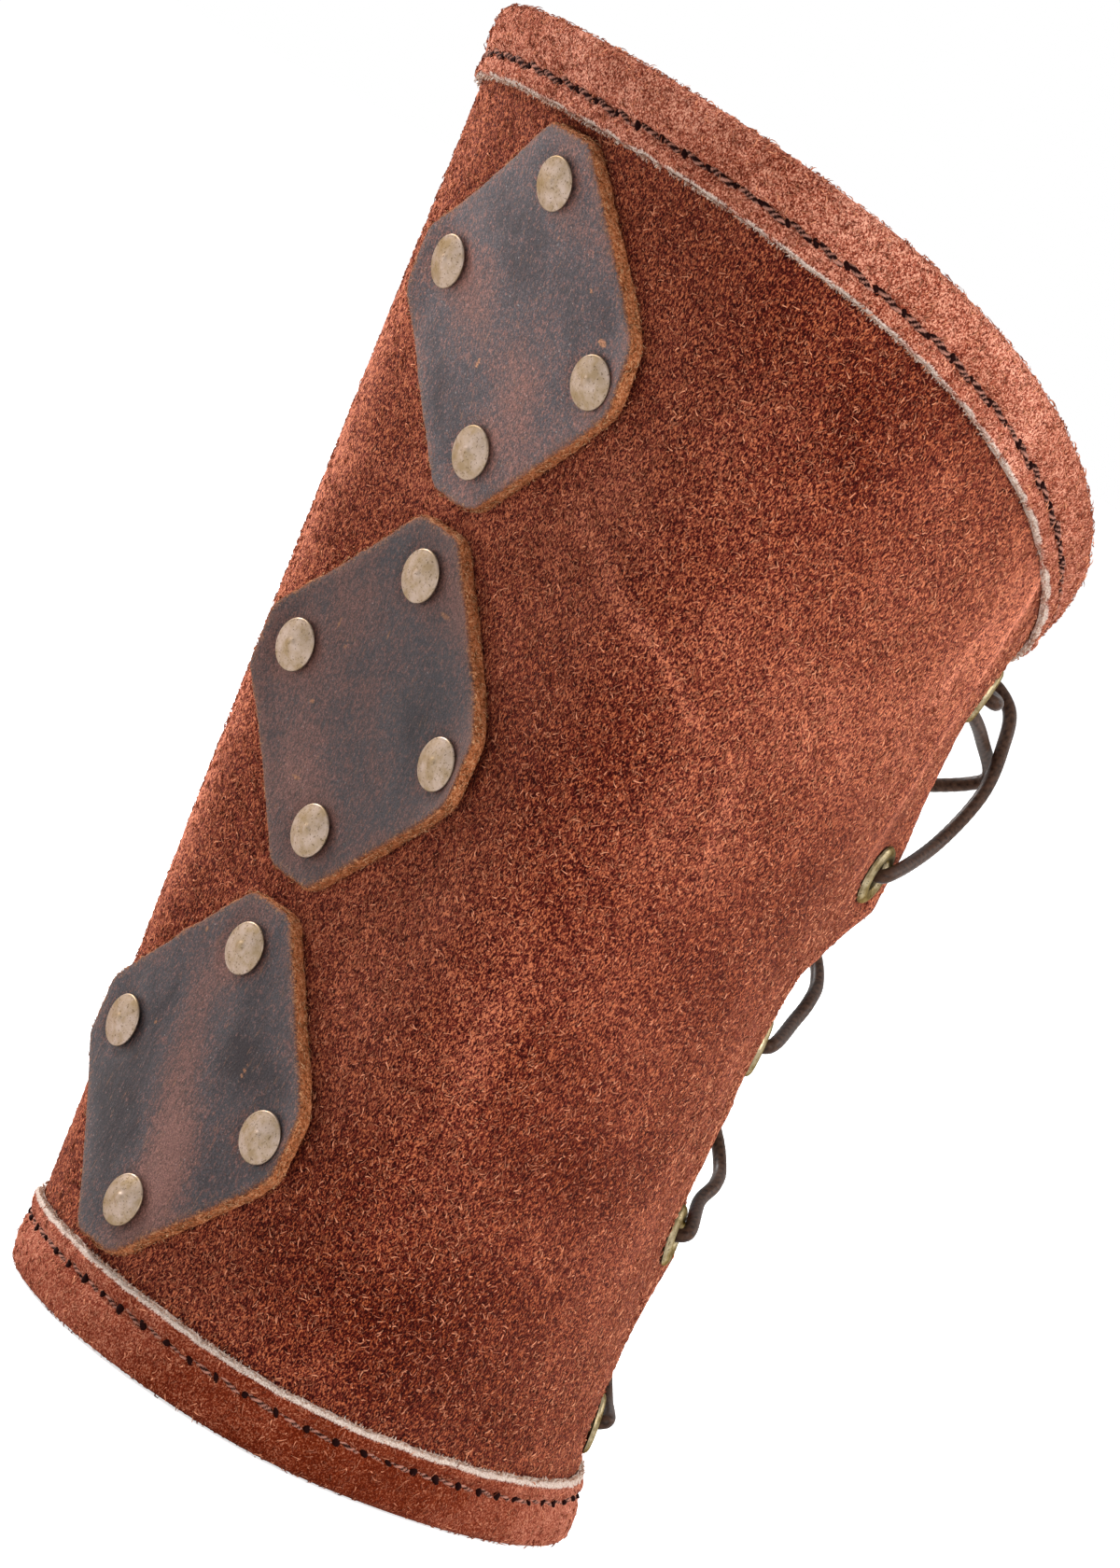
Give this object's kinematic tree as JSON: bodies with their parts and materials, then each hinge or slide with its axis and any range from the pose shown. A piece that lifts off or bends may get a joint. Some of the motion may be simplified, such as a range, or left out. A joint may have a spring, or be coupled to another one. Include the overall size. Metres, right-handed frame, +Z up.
{
  "type": "laced suede bracer",
  "caption": "Flared suede forearm guard, laced up one side through metal eyelets, with bound rims and riveted leather plates on its front.",
  "frame": {"origin": "middle of the footprint box, at the level of the wrist rim that the bracer stands on", "axes": "+Z up along the forearm from the wrist rim to the elbow rim, -Y towards the front with the plates, +Y towards the lacing gap, +X towards the lacing edge that the picture shows"},
  "size_m": [0.1206, 0.1516, 0.2245],
  "materials": {
    "suede": "red-brown suede with a short curly nap and dark handling marks",
    "binding_suede": "lighter red-brown suede with a raw cream edge and dark stitching",
    "plate_leather": "oiled dark grey-brown leather with worn red-brown patches and tan cut edges",
    "antique_brass": "antique brass plating, dulled",
    "eyelet_brass": "antique brass plating, dulled and grey-green",
    "lace_cord": "dark brown braided round cord"
  },
  "bodies": {
    "root": {"sleeve": "suede", "wrist_binding": "binding_suede", "elbow_binding": "binding_suede", "upper_plate": "plate_leather", "middle_plate": "plate_leather", "lower_plate": "plate_leather", "upper_plate_top_rivet_cap": "antique_brass", "upper_plate_top_rivet_post": "antique_brass", "upper_plate_left_rivet_cap": "antique_brass", "upper_plate_left_rivet_post": "antique_brass", "upper_plate_right_rivet_cap": "antique_brass", "upper_plate_right_rivet_post": "antique_brass", "upper_plate_bottom_rivet_cap": "antique_brass", "upper_plate_bottom_rivet_post": "antique_brass", "middle_plate_top_rivet_cap": "antique_brass", "middle_plate_top_rivet_post": "antique_brass", "middle_plate_left_rivet_cap": "antique_brass", "middle_plate_left_rivet_post": "antique_brass", "middle_plate_right_rivet_cap": "antique_brass", "middle_plate_right_rivet_post": "antique_brass", "middle_plate_bottom_rivet_cap": "antique_brass", "middle_plate_bottom_rivet_post": "antique_brass", "lower_plate_top_rivet_cap": "antique_brass", "lower_plate_top_rivet_post": "antique_brass", "lower_plate_left_rivet_cap": "antique_brass", "lower_plate_left_rivet_post": "antique_brass", "lower_plate_right_rivet_cap": "antique_brass", "lower_plate_right_rivet_post": "antique_brass", "lower_plate_bottom_rivet_cap": "antique_brass", "lower_plate_bottom_rivet_post": "antique_brass", "near_eyelet_1": "eyelet_brass", "near_eyelet_2": "eyelet_brass", "near_eyelet_3": "eyelet_brass", "near_eyelet_4": "eyelet_brass", "near_eyelet_5": "eyelet_brass", "far_eyelet_1": "eyelet_brass", "far_eyelet_2": "eyelet_brass", "far_eyelet_3": "eyelet_brass", "far_eyelet_4": "eyelet_brass", "far_eyelet_5": "eyelet_brass", "lace": "lace_cord"}
  },
  "joints": []
}
